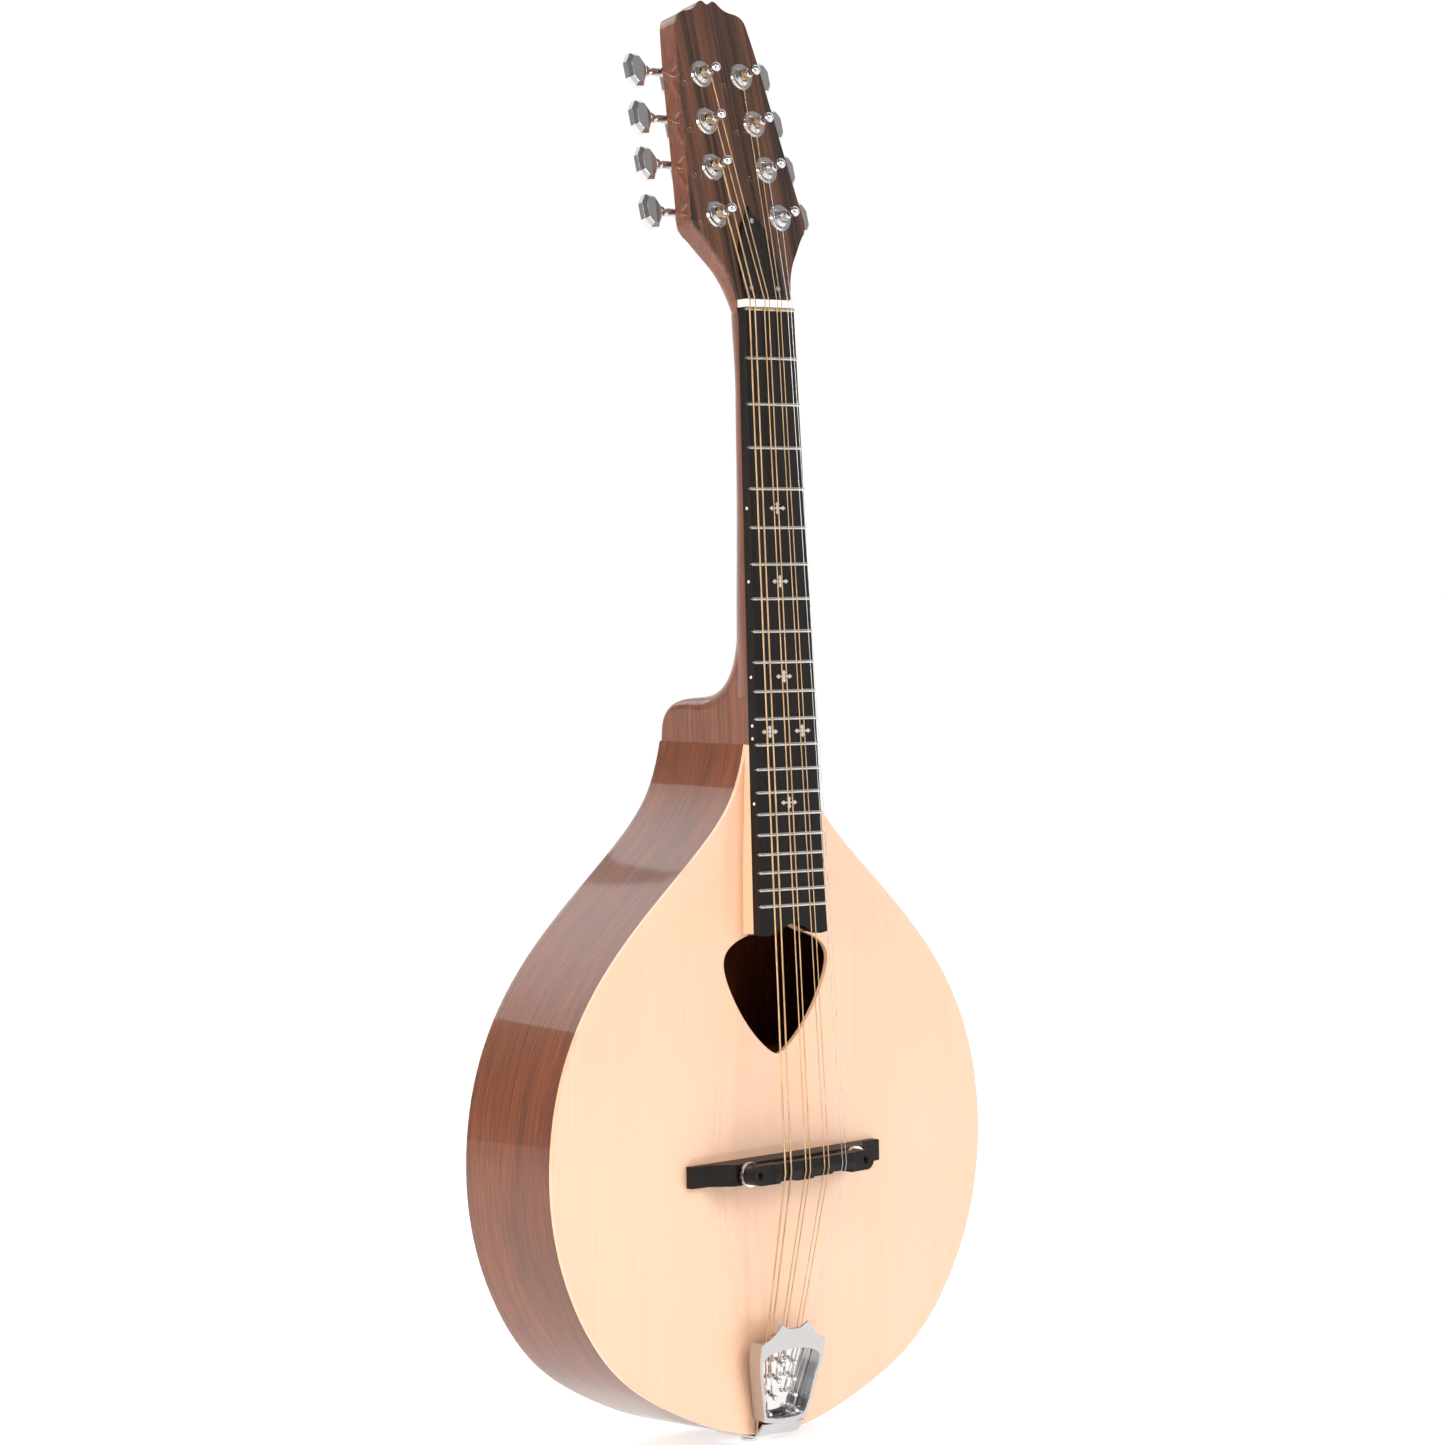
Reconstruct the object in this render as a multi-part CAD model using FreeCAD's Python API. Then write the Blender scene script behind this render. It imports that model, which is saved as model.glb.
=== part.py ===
import FreeCAD, Part
import math
import os
from FreeCAD import Matrix, Placement, Rotation, Vector

# Flat-top bouzouki: teardrop body, four double courses, adjustable bridge, cast tailpiece.
# Millimetres. +Z up along the neck, +X to the right seen from the front, the soundboard faces -Y.
# The origin is the centre of the strap button's outer face, the lowest point of the instrument.

# --- driving dimensions -------------------------------------------------------------------
SCALE = 540.0                 # zero fret to the theoretical saddle line
NUT_Z = 707.5                 # height of the zero fret
FRONT = -20.0                 # plane of the soundboard's rim
DEPTH = 78.6                  # soundboard rim plane to the back
JOINT_Z = 438.0               # where the neck meets the body, at the twelfth fret
NECK_TILT = 3.53              # degrees the neck leans back
HEAD_TILT = 12.28             # degrees the headstock leans back from the neck

# body
TOP_THICK = 3.0
BACK_THICK = 2.8
RIM_THICK = 2.3
DOME_Z, DOME_R, DOME_RISE = 187.0, 176.0, 4.0
BODY_CURVE = [(24.0, 438.0), (34.9, 405.6), (63.2, 373.2), (113.1, 330.0), (152.7, 286.8), (175.6, 243.6),
              (185.3, 195.0), (181.9, 146.4), (163.5, 97.8), (127.5, 53.5), (83.4, 28.0), (0.0, 6.5)]
BLOCK_Z = 378.0               # lower end of the neck block
TAIL_BLOCK_Z = 34.0           # upper face of the tail block
LINING = 5.0
INSET_STEPS = 22

# neck and fingerboard, measured down from the zero fret
BOARD_THICK = 6.3
BOARD_HALF_NUT = 21.1
BOARD_SPREAD = 11.25 / SCALE  # growth of the half width per millimetre
BOARD_END = 388.0
FRETS = 20
FRET_WIDE, FRET_HIGH, TANG_WIDE, TANG_DEEP = 2.3, 1.1, 0.6, 1.8
MARKED_FRETS = [5, 7, 10, 12, 15]
INLAY_THICK = 0.5
ROD_END = 264.0               # the truss rod stops just above the body joint
NECK_DEPTHS = [(-26.0, 16.4), (-14.0, 16.2), (-3.0, 16.4), (22.0, 14.6), (62.0, 13.5),
               (106.0, 15.0), (156.0, 18.0), (206.0, 21.0), (240.0, 22.5)]
HEEL_HALF = 24.0
HEEL_SWEEP = [(-17.7, 512.0), (-18.8, 496.0), (-21.6, 484.2), (-27.2, 475.0), (-38.0, 468.0), (-51.0, 465.8),
              (-64.0, 463.8), (-72.2, 459.8), (-77.0, 453.2), (-78.6, 444.6), (-78.6, 438.0)]
HEEL_ROUND_TOP, HEEL_ROUND_FOOT = 15.0, 2.6   # edge radius, from the neck down to the body

# headstock, measured up from the nut along its face
HEAD_THICK = 15.5
VENEER = 2.0
EAR_Z = 49.6
FLARE_ROUND_EAR, FLARE_ROUND_NECK = 0.4, 11.0     # radius of the back edge from the lower ear to the nut
POST_HALF = [17.2, 20.6, 23.3, 27.3]
POST_UP = [153.2, 122.2, 92.1, 61.0]
WORM_Y = 20.2                 # depth of the worm shafts behind the headstock's face
WORM_UP = 7.0                 # worm axis above the post axis
POST_R = 3.0
RUN = 0.05                    # radial running clearance
BUTTON_OUT = 36.3             # post axis to the button's middle
SHAFT_R = 2.8
HOUSING_IN, HOUSING_OUT = 8.2, 14.2   # gearbox cover, from the post axis inwards and outwards
PLATE_THICK, HOUSING_DEEP, HOUSING_WALL = 0.9, 7.8, 1.0
TUNER_SCREW_DOWN = 9.2
TEETH = 15

# bridge
BRIDGE = Vector(2.0, FRONT, 176.0)
BRIDGE_SLANT = 1.9            # degrees, bass end lower
BASE_BASS, BASE_TREBLE = -79.5, 83.4
BASE_WIDE, BASE_END_HIGH, BASE_HIGH = 13.4, 9.0, 21.8
RAMP_FOOT, RAMP_TOP = 67.0, 55.5      # where the base rises to carry the thumbwheels, from its middle
POST_SPREAD = 46.0
WHEEL_R, WHEEL_THICK, WHEEL_FRONT = 7.75, 2.4, 26.1
SADDLE_ENDS, SADDLE_END_HIGH, SADDLE_HIGH = (-51.8, 53.0), 34.5, 36.6
CROWN_HALF = 37.0
CROWN_FALL_TAIL, CROWN_FALL_NECK = 0.207, 0.085   # slopes of the saddle's crown below and above its ridge
BRIDGE_STUD_R, STUD_END, STUD_BORE_END = 2.2, 31.2, 32.8

# strings: gauge, x at the zero fret, x at the saddle, x at the tailpiece comb, hook row
STRINGS = [(1.15, -19.0, -27.8, -20.3, 3), (1.15, -14.4, -22.7, -16.4, 2), (0.85, -6.0, -9.7, -8.4, 1),
           (0.85, -2.2, -5.9, -5.0, 0), (0.65, 4.9, 6.6, 4.4, 0), (0.65, 8.2, 10.5, 8.0, 1),
           (0.40, 14.5, 22.6, 15.6, 2), (0.40, 17.5, 25.9, 19.2, 3)]
POST_OF_STRING = [(-1, 3), (-1, 2), (-1, 1), (-1, 0), (1, 0), (1, 1), (1, 2), (1, 3)]
WIND_Y, WIND_CLEAR = -5.4, POST_R + 0.2
STRING_GAP = 0.12             # air between a string and the saddle, which moves

# tailpiece
TAIL_TOP_Z, TAIL_TOP_Y, TAIL_TILT = 76.0, FRONT - 20.5, 8.4
COVER_THICK, COVER_DEEP = 1.8, 10.2
PLATE_FRONT, PLATE_BACK = 8.8, 10.4
STRAP_Z, STRAP_THICK = 4.9, 1.5
HOOK_ROWS = [(5.2, 22.0), (6.6, 32.5), (9.0, 43.0), (11.8, 53.5)]
HOOK_FOOT_Y, HOOK_R, HOOK_LONG, HOOK_DROOP = 10.2, 1.25, 8.2, math.radians(18.0)
HOOK_OUT = Vector(0, -math.cos(HOOK_DROOP), -math.sin(HOOK_DROOP))
LOOP_OUT = 4.4                # where the string's loop sits along its hook
COMB_Y, COMB_TOP, COMB_FOOT = 4.3, -13.2, -15.0

nodes = {}


# --- small helpers ------------------------------------------------------------------------
def at(origin, tilt):
    """A frame whose Z leans back by tilt degrees."""
    return Placement(origin, Rotation(Vector(1, 0, 0), -tilt))


NECK = at(Vector(0, FRONT + 5.6, NUT_Z), NECK_TILT)
HEAD = at(NECK.multVec(Vector(0, 2.4, 0)), NECK_TILT + HEAD_TILT)
TAIL = at(Vector(0, TAIL_TOP_Y, TAIL_TOP_Z), -TAIL_TILT)
BRIDGE_FRAME = Placement(BRIDGE, Rotation(Vector(0, 1, 0), -BRIDGE_SLANT))


def put(shape, frame):
    return shape.transformed(frame.toMatrix(), True)


def line(a, b):
    return Part.LineSegment(Vector(a[0], 0, a[1]), Vector(b[0], 0, b[1])).toShape()


def arc(a, b, c):
    return Part.Arc(*[Vector(p[0], 0, p[1]) for p in (a, b, c)]).toShape()


def curve(points, start=None, end=None):
    spline = Part.BSplineCurve()
    vectors = [Vector(x, 0, z) for x, z in points]
    if start:
        spline.interpolate(Points=vectors, InitialTangent=Vector(start[0], 0, start[1]).normalize(),
                           FinalTangent=Vector(end[0], 0, end[1]).normalize(), Scale=False)
    else:
        spline.interpolate(Points=vectors)
    return spline.toShape()


def path(points):
    return [line(a, b) for a, b in zip(points, points[1:])]


def closed(edges):
    return Part.Wire(Part.__sortEdges__(edges))


def both_sides(edges):
    """A closed wire from a right-hand half that starts and ends on the middle plane."""
    mirrored = [e.mirror(Vector(), Vector(1, 0, 0)) for e in edges]
    return closed(edges + mirrored)


def slab(wire, y0, y1):
    """The outline, drawn in XZ, filled between two depths."""
    face = Part.Face(wire)
    face.translate(Vector(0, y0, 0))
    return face.extrude(Vector(0, y1 - y0, 0))


def box(x0, x1, y0, y1, z0, z1):
    return Part.makeBox(x1 - x0, y1 - y0, z1 - z0, Vector(x0, y0, z0))


def rod(radius, start, end):
    run = end - start
    return Part.makeCylinder(radius, run.Length, start, run)


def cone(r0, r1, start, end):
    run = end - start
    return Part.makeCone(r0, r1, run.Length, start, run)


def ball(radius, centre):
    return Part.makeSphere(radius, centre)


def joined(shapes):
    first = shapes[0]
    return first.fuse(shapes[1:]).removeSplitter() if len(shapes) > 1 else first


def group(shapes):
    return Part.makeCompound(shapes)


def taper_rounded(solid, chosen, upper, lower):
    """Rounds one edge on each side, with a radius that changes from its upper to its lower end."""
    for side in (-1, 1):
        edge = [e for e in solid.Edges if chosen(e) and side * e.CenterOfMass.x > 1][0]
        radii = (upper, lower) if edge.Vertexes[0].Z > edge.Vertexes[-1].Z else (lower, upper)
        solid = solid.makeFillet(*radii, [edge]).Solids[0]
    return solid


def board_half(s):
    return BOARD_HALF_NUT + BOARD_SPREAD * s


def fret_down(n):
    return SCALE * (1.0 - 2.0 ** (-n / 12.0))


# --- body ---------------------------------------------------------------------------------
def outline(inset):
    """The body's outline, moved inwards all round except at the neck joint."""
    side = curve(BODY_CURVE, (0.2, -1), (-1, 0))
    first, last = side.FirstParameter, side.LastParameter
    points = []
    for step in range(INSET_STEPS + 1):
        u = first + (last - first) * step / INSET_STEPS
        place, along = side.valueAt(u), side.tangentAt(u)
        points.append((place.x + along.z * inset, place.z - along.x * inset))
    points[0] = (BODY_CURVE[0][0] - 1.02 * inset, JOINT_Z)
    points[-1] = (0.0, points[-1][1])
    if inset:
        side = curve(points, (0.2, -1), (-1, 0))
    return both_sides([line((0, JOINT_Z), points[0]), side])


BODY_WIRE = outline(0)
INNER_WIRE = outline(RIM_THICK)
LINING_WIRE = outline(RIM_THICK + LINING)
BACK_IN = FRONT + DEPTH - BACK_THICK
TOP_IN = FRONT + TOP_THICK


def dome(y0):
    """The shallow cap that makes the soundboard rise in the middle."""
    bulge = Part.Arc(Vector(DOME_R, y0, DOME_Z), Vector(DOME_R * 0.5, y0 - DOME_RISE * 0.7506, DOME_Z),
                     Vector(0, y0 - DOME_RISE, DOME_Z)).toBSpline().toShape()
    axis = Part.LineSegment(Vector(0, y0 - DOME_RISE, DOME_Z), Vector(0, y0, DOME_Z)).toShape()
    base = Part.LineSegment(Vector(0, y0, DOME_Z), Vector(DOME_R, y0, DOME_Z)).toShape()
    face = Part.Face(Part.Wire([bulge, axis, base]))
    return face.revolve(Vector(0, y0, DOME_Z), Vector(0, 1, 0), 360)


def soundhole_wire():
    right = [curve([(0, 245.0), (5.5, 246.8), (11.5, 250.8), (27.4, 266.5), (39.4, 284.8), (44.7, 298.0)],
                   (8, 0), (1.5, 6)),
             curve([(44.7, 298.0), (45.1, 304.5), (42.6, 310.0), (37.4, 314.4), (31.0, 317.5), (22.0, 320.4),
                    (11.0, 325.0), (0, 326.5)], (1.5, 6), (-8, 0))]
    return both_sides(right)


def soundboard():
    plate = slab(BODY_WIRE, FRONT, TOP_IN).fuse(dome(FRONT)).cut(dome(TOP_IN))
    plate = plate.cut(slab(soundhole_wire(), FRONT - 10, TOP_IN + 1))
    return plate.removeSplitter()


def rim(side):
    ring = slab(BODY_WIRE, TOP_IN, BACK_IN).cut(slab(INNER_WIRE, TOP_IN - 1, BACK_IN + 1))
    half = box(0, 250, FRONT - 5, FRONT + DEPTH + 5, -5, JOINT_Z + 5)
    if side < 0:
        half = half.mirror(Vector(), Vector(1, 0, 0))
    return ring.common(half)


def neck_block():
    return slab(INNER_WIRE, TOP_IN, BACK_IN).common(box(-60, 60, TOP_IN, BACK_IN, BLOCK_Z, JOINT_Z + 5))


def tail_block():
    return slab(INNER_WIRE, TOP_IN, BACK_IN).common(box(-42, 42, TOP_IN, BACK_IN, 0, TAIL_BLOCK_Z))


def linings(y0, y1):
    ring = slab(INNER_WIRE, y0, y1).cut(slab(LINING_WIRE, y0 - 1, y1 + 1))
    ring = ring.cut(box(-60, 60, y0 - 1, y1 + 1, BLOCK_Z - 0.2, JOINT_Z))
    return ring.cut(box(-42.2, 42.2, y0 - 1, y1 + 1, 0, TAIL_BLOCK_Z + 0.2))


def top_braces():
    """Three ladder bars and two splayed tone bars, glued behind the soundboard."""
    bars = [box(-160, 160, FRONT - 5, TOP_IN + high, z - 4, z + 4)
            for z, high in ((336.0, 9.0), (228.0, 11.0), (118.0, 9.0))]
    between = box(-90, 90, FRONT - 5, TOP_IN + 8, 122.2, 223.8)
    for side in (-1, 1):
        tone = Part.makeBox(7, 50, 140, Vector(-3.5, FRONT - 5, -10))
        tone = put(tone, Placement(Vector(side * 30, 0, 112), Rotation(Vector(0, 1, 0), side * 8)))
        bars.append(tone.common(between))
    rise = dome(TOP_IN).common(slab(LINING_WIRE, FRONT - 6, BACK_IN))
    under_top = slab(LINING_WIRE, TOP_IN, BACK_IN).fuse(rise)
    return joined([bar.common(under_top) for bar in bars])


def back_braces():
    inside = slab(LINING_WIRE, BACK_IN - 12, BACK_IN)
    bars = [box(-170, 170, BACK_IN - 10, BACK_IN, z - 4, z + 4) for z in (330.0, 236.0, 142.0, 74.0)]
    strip = box(-9, 9, BACK_IN - 1.8, BACK_IN, TAIL_BLOCK_Z + 1, BLOCK_Z - 1)
    return joined([bar.common(inside) for bar in bars] + [strip])


# --- neck ---------------------------------------------------------------------------------
def neck_section(s, deep):
    """A rounded D across the neck, s below the zero fret."""
    half = board_half(s)
    power = 2.0 / 2.3
    points = []
    for step in range(9):
        angle = math.pi * step / 8
        across = math.copysign(abs(math.cos(angle)) ** power, math.cos(angle))
        points.append(Vector(half * across, BOARD_THICK + deep * math.sin(angle) ** power, -s))
    spline = Part.BSplineCurve()
    spline.interpolate(Points=points, InitialTangent=Vector(0, 1, 0), FinalTangent=Vector(0, -1, 0),
                       Scale=False)
    flat = Part.LineSegment(points[-1], points[0]).toShape()
    return Part.Wire([spline.toShape(), flat])


def neck_shaft():
    return put(Part.makeLoft([neck_section(s, deep) for s, deep in NECK_DEPTHS], True, False), NECK)


def heel():
    """The full-depth heel: its back sweeps out of the neck, and its edges get crisper towards the body."""
    spline = Part.BSplineCurve()
    points = [Vector(0, FRONT - depth, z) for depth, z in HEEL_SWEEP]
    spline.interpolate(Points=points, InitialTangent=Vector(0, 0, -1), FinalTangent=Vector(0, 0, -1),
                       Scale=False)
    front_top, front_foot = Vector(0, FRONT - 9.5, points[0].z), Vector(0, FRONT - 4.8, JOINT_Z)
    corners = [points[-1], front_foot, front_top, points[0]]
    edges = [Part.LineSegment(a, b).toShape() for a, b in zip(corners, corners[1:])]
    face = Part.Face(Part.Wire([spline.toShape()] + edges))
    face.translate(Vector(-HEEL_HALF, 0, 0))
    block = face.extrude(Vector(2 * HEEL_HALF, 0, 0))
    block = taper_rounded(block, lambda e: e.BoundBox.YMax > FRONT + DEPTH - 0.1 and e.BoundBox.ZLength > 60,
                          HEEL_ROUND_TOP, HEEL_ROUND_FOOT)
    under_board = put(box(-40, 40, BOARD_THICK, 120, -290, -180), NECK)
    return block.common(under_board)


def headstock_edges():
    """The right-hand half, from the crown's middle notch down to the nut."""
    return [curve([(0, 200.0), (1.6, 200.5), (3.4, 201.8), (5.4, 202.2), (7.6, 201.3)], (1, 0), (2, -1.6)),
            curve([(7.6, 201.3), (12.0, 197.6), (16.0, 195.7), (20.5, 194.8)], (2, -1.6), (4, -0.6)),
            curve([(20.5, 194.8), (25.0, 193.6), (28.4, 191.0), (30.2, 186.6)], (4, -0.6), (1.0, -5)),
            curve([(30.2, 186.6), (36.0, 150.0), (42.5, 100.0), (48.1, 60.0)], (1.0, -5), (0.7, -5)),
            arc((48.1, 60.0), (47.6, 54.5), (44.6, EAR_Z)),
            curve([(44.6, EAR_Z), (36.6, 39.0), (29.6, 28.5), (24.4, 14.0), (22.0, -1.0)],
                  (-4, -4), (-0.5, -5)),
            line((22.0, -1.0), (0, -1.0))]


def headstock_blank():
    """The wood under the veneer, rounded behind where it narrows to the neck."""
    wood = slab(both_sides(headstock_edges()), VENEER, HEAD_THICK)
    below_ears = box(-60, 60, -5, 30, -5, EAR_Z)
    flare = taper_rounded(wood.common(below_ears).Solids[0],
                          lambda e: e.BoundBox.YMin > HEAD_THICK - 0.1 and e.BoundBox.ZLength > EAR_Z,
                          FLARE_ROUND_EAR, FLARE_ROUND_NECK)
    return put(wood.cut(below_ears).fuse(flare), HEAD)


def each_post():
    """Side, row, and the post's axis in the headstock's frame."""
    for side in (-1, 1):
        for row in range(4):
            yield side, row, Vector(side * POST_HALF[row], 0, POST_UP[row])


def post_holes(radius, y0, y1):
    holes = [rod(radius, p + Vector(0, y0, 0), p + Vector(0, y1, 0)) for _, _, p in each_post()]
    return put(group(holes), HEAD)


def rod_channel():
    """The groove for the truss rod under the fingerboard, and the pocket at the headstock."""
    groove = put(box(-3.1, 3.1, BOARD_THICK, BOARD_THICK + 9.2, -ROD_END - 0.2, 10), NECK)
    pocket = put(box(-5.0, 5.0, -1, 11.8, 6.5, 44.0), HEAD)
    return groove.fuse(pocket)


def neck(channel):
    shaft = neck_shaft().cut(put(box(-60, 60, -30, VENEER, 0, 60), HEAD))
    blank = headstock_blank()
    above_nut = put(box(-60, 60, -30, BOARD_THICK, -2.0, 10), NECK)
    wood = shaft.fuse(heel()).fuse(blank.cut(above_nut))
    nut_seat = put(box(-30, 30, -20, BOARD_THICK, -10, 6.2), NECK)
    return wood.cut(nut_seat).cut(channel).cut(post_holes(5.05, -5, 30))


def headstock_veneer(channel):
    sheet = put(slab(both_sides(headstock_edges()), 0, VENEER), HEAD)
    nut_seat = put(box(-30, 30, -20, BOARD_THICK, -10, 6.2), NECK)
    return sheet.cut(nut_seat).cut(channel).cut(post_holes(5.05, -5, 30))


def board_wire(inset, end_shift):
    """The fingerboard seen from the front; its end is scalloped round the soundhole."""
    end = BOARD_END - end_shift
    right = [line((0, 1.0), (board_half(0) - inset, 1.0)),
             line((board_half(0) - inset, 1.0), (board_half(end) - inset, 0.6 - end)),
             line((board_half(end) - inset, 0.6 - end), (23.5, -end - 0.4)),
             curve([(23.5, -end - 0.4), (14.5, 1.8 - end), (6.5, 5.4 - end), (0, 6.8 - end)],
                   (-9, 1), (-6, 0))]
    return both_sides(right)


def fret_slots():
    slots = []
    for n in range(FRETS + 1):
        s = fret_down(n)
        slots.append(box(-40, 40, -1, TANG_DEEP, -s - TANG_WIDE / 2, -s + TANG_WIDE / 2))
    return slots


def cross_inlay(x, z):
    """A thin cross: its side arms end in diamonds, its upright in arrowheads."""
    quarter = [(0, 4.0), (1.9, 2.4), (0.9, 1.8), (0.9, 0.5), (3.0, 0.45), (4.9, 1.4), (7.0, 0)]
    right = quarter + [(a, -b) for a, b in quarter[-2::-1]]
    outer = right + [(-a, b) for a, b in right[-2:0:-1]]
    cross = slab(closed(path(outer + outer[:1])), 0, INLAY_THICK)
    cross.translate(Vector(x, 0, z))
    return cross


def inlay_places():
    for n in MARKED_FRETS:
        z = -(fret_down(n) + fret_down(n - 1)) / 2
        for x in ((-14.2, 14.2) if n == 12 else (0.0,)):
            yield x, z


def position_inlays():
    return group([cross_inlay(x, z) for x, z in inlay_places()])


def side_dots():
    dots = []
    for n in MARKED_FRETS:
        middle = (fret_down(n) + fret_down(n - 1)) / 2
        for s in ((middle - 4, middle + 4) if n == 12 else (middle,)):
            x = -board_half(s)
            dots.append(rod(1.0, Vector(x - 0.05, 3.0, -s), Vector(x + 1.5, 3.0, -s)))
    sides = slab(board_wire(0, 0), 0, BOARD_THICK)
    return group([dot.common(sides) for dot in dots])


def fingerboard(inlays, dots):
    board = slab(board_wire(0, 0), 0, BOARD_THICK).cut(fret_slots())
    return board.cut(inlays.Solids).cut(dots.Solids)


def fret_wire(s, high):
    """A crowned wire across the board with its tang in the slot."""
    half = board_half(s) - 0.2
    crown = Part.Wire([arc((-FRET_WIDE / 2, 0), (0, high), (FRET_WIDE / 2, 0)),
                       line((FRET_WIDE / 2, 0), (-FRET_WIDE / 2, 0))])
    bar = Part.Face(crown).extrude(Vector(0, 2 * half, 0))
    bar.rotate(Vector(), Vector(0, 0, 1), -90)
    bar.rotate(Vector(), Vector(1, 0, 0), 90)
    bar.translate(Vector(-half, 0, -s))
    tang = box(-half, half, 0, TANG_DEEP, -s - TANG_WIDE / 2, -s + TANG_WIDE / 2)
    return bar.fuse(tang).removeSplitter()


def nut():
    half = BOARD_HALF_NUT + 0.4
    block = box(-half, half, -2.4, BOARD_THICK, 1.3, 6.1)
    block = block.makeFillet(0.8, [e for e in block.Edges if e.BoundBox.YMax < -2.3 and e.Length > 20])
    for gauge, x, _, _, _ in STRINGS:
        y = -FRET_HIGH - gauge / 2
        slot = rod(gauge / 2 + 0.02, Vector(x, y, 0), Vector(x, y, 8))
        block = block.cut(slot).cut(box(x - gauge / 2 - 0.02, x + gauge / 2 + 0.02, -5, y, 0, 8))
    return block


def wedge():
    """The light tapered strip that fills the space between the raised board and the soundboard."""
    strip = put(slab(board_wire(1.2, 1.0), BOARD_THICK, BOARD_THICK + 30), NECK)
    strip = strip.common(box(-50, 50, FRONT - 30, FRONT, 200, JOINT_Z - 0.02))
    return strip.cut(dome(FRONT))


TRUSS_Y = BOARD_THICK + 6.0
TRUSS_NUT_Z = 10.0


def truss_rod():
    """Steel rod in its groove, with a round anchor at the body end."""
    start, end = Vector(0, TRUSS_Y, -ROD_END), Vector(0, TRUSS_Y, 15.5)
    anchor = rod(3.0, start, start + Vector(0, 0, 14))
    return anchor.fuse(rod(2.4, start, end)).removeSplitter()


def truss_rod_nut():
    """Barrel nut with a hexagon socket, turned with a key from the headstock pocket."""
    start = Vector(0, TRUSS_Y, TRUSS_NUT_Z)
    barrel = rod(3.05, start, start + Vector(0, 0, 14)).cut(rod(2.4 + RUN, start, start + Vector(0, 0, 6)))
    angles = [math.radians(60 * k) for k in range(7)]
    corners = [Vector(2.0 * math.cos(angle), 0, 2.0 * math.sin(angle)) for angle in angles]
    socket = Part.Face(Part.makePolygon(corners))
    socket.rotate(Vector(), Vector(1, 0, 0), 90)
    socket.translate(start + Vector(0, 0, 8))
    return barrel.cut(socket.extrude(Vector(0, 0, 7)))


def truss_cover():
    edges = [line((0, 7.6), (16.6, 7.6)),
             curve([(16.6, 7.6), (17.0, 22.0), (15.2, 37.0), (9.6, 54.0)], (0.5, 12), (-4, 12)),
             curve([(9.6, 54.0), (4.8, 60.0), (0, 67.5)], (-4, 12), (-1.5, 8))]
    plate = slab(both_sides(edges), -2.0, 0)
    return plate.makeChamfer(0.8, [e for e in plate.Edges if e.BoundBox.YMax < -1.9])


COVER_SCREWS = [(0, 57.5), (-11.5, 13.5), (11.5, 13.5)]


def truss_cover_screws():
    screws = []
    for x, z in COVER_SCREWS:
        head = cone(1.1, 1.7, Vector(x, -1.2, z), Vector(x, -2.0, z))
        shank = rod(0.9, Vector(x, -1.3, z), Vector(x, 5.0, z))
        screws.append(head.fuse(shank))
    return screws


def screw_slots():
    slots = []
    for x, z in COVER_SCREWS:
        slots.append(box(x - 1.2, x + 1.2, -3, -1.6, z - 0.2, z + 0.2))
        slots.append(box(x - 0.2, x + 0.2, -3, -1.6, z - 1.2, z + 1.2))
    return slots


# --- tuners -------------------------------------------------------------------------------
def tuner_post(p):
    """Post, string hole, ball tip and worm wheel, turning about the headstock's depth axis."""
    def y(depth):
        return p + Vector(0, depth, 0)
    post = joined([rod(POST_R, y(-7.6), y(22.6)), cone(2.1, POST_R, y(-9.0), y(-7.6)),
                   rod(2.1, y(-11.0), y(-9.0)), ball(3.4, y(-13.2))])
    post = post.cut(rod(0.7, y(-8.2) + Vector(-5, 0, 0), y(-8.2) + Vector(5, 0, 0)))
    wheel = rod(4.75, y(18.3), y(22.1))
    for n in range(TEETH):
        angle = 2 * math.pi * n / TEETH
        gap = Vector(math.cos(angle) * 5.0, 0, math.sin(angle) * 5.0)
        wheel = wheel.cut(rod(0.55, y(18.0) + gap, y(22.4) + gap))
    return post.fuse(wheel).removeSplitter()


def tuner_button(side, p):
    """Worm shaft with its faceted button, turning about X."""
    def x(out, dy=0.0, dz=0.0):
        return Vector(p.x + side * out, WORM_Y + dy, p.z + WORM_UP + dz)
    shaft = joined([rod(2.1, x(-5.2), x(5.2)), rod(1.6, x(-6.9), x(7.5)), rod(SHAFT_R, x(6.95), x(24.5)),
                    cone(SHAFT_R, 3.9, x(24.5), x(28.0)), rod(3.9, x(28.0), x(30.0))])
    upper = [(-7.8, 3.4), (-3.0, 10.4), (3.6, 10.7), (7.7, 5.2)]
    outline = upper + [(a, -b) for a, b in upper[::-1]]
    corners = [Vector(BUTTON_OUT + a, 0, b) for a, b in outline]
    face = Part.Face(Part.makePolygon(corners + corners[:1]))
    head = face.extrude(Vector(0, 8.2, 0))
    head = head.makeChamfer(2.2, [e for e in head.Edges if e.BoundBox.YLength < 0.01])
    head.translate(Vector(0, -4.1, 0))
    if side < 0:
        head = head.mirror(Vector(), Vector(1, 0, 0))
    head.translate(x(0))
    return shaft.fuse(head).removeSplitter()


def across(side, inward, outward, y0, y1, z0, z1):
    """A box beside the post axis, reaching towards the headstock's middle and towards its edge."""
    ends = sorted((-side * inward, side * outward))
    return box(ends[0], ends[1], y0, y1, z0, z1)


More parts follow.
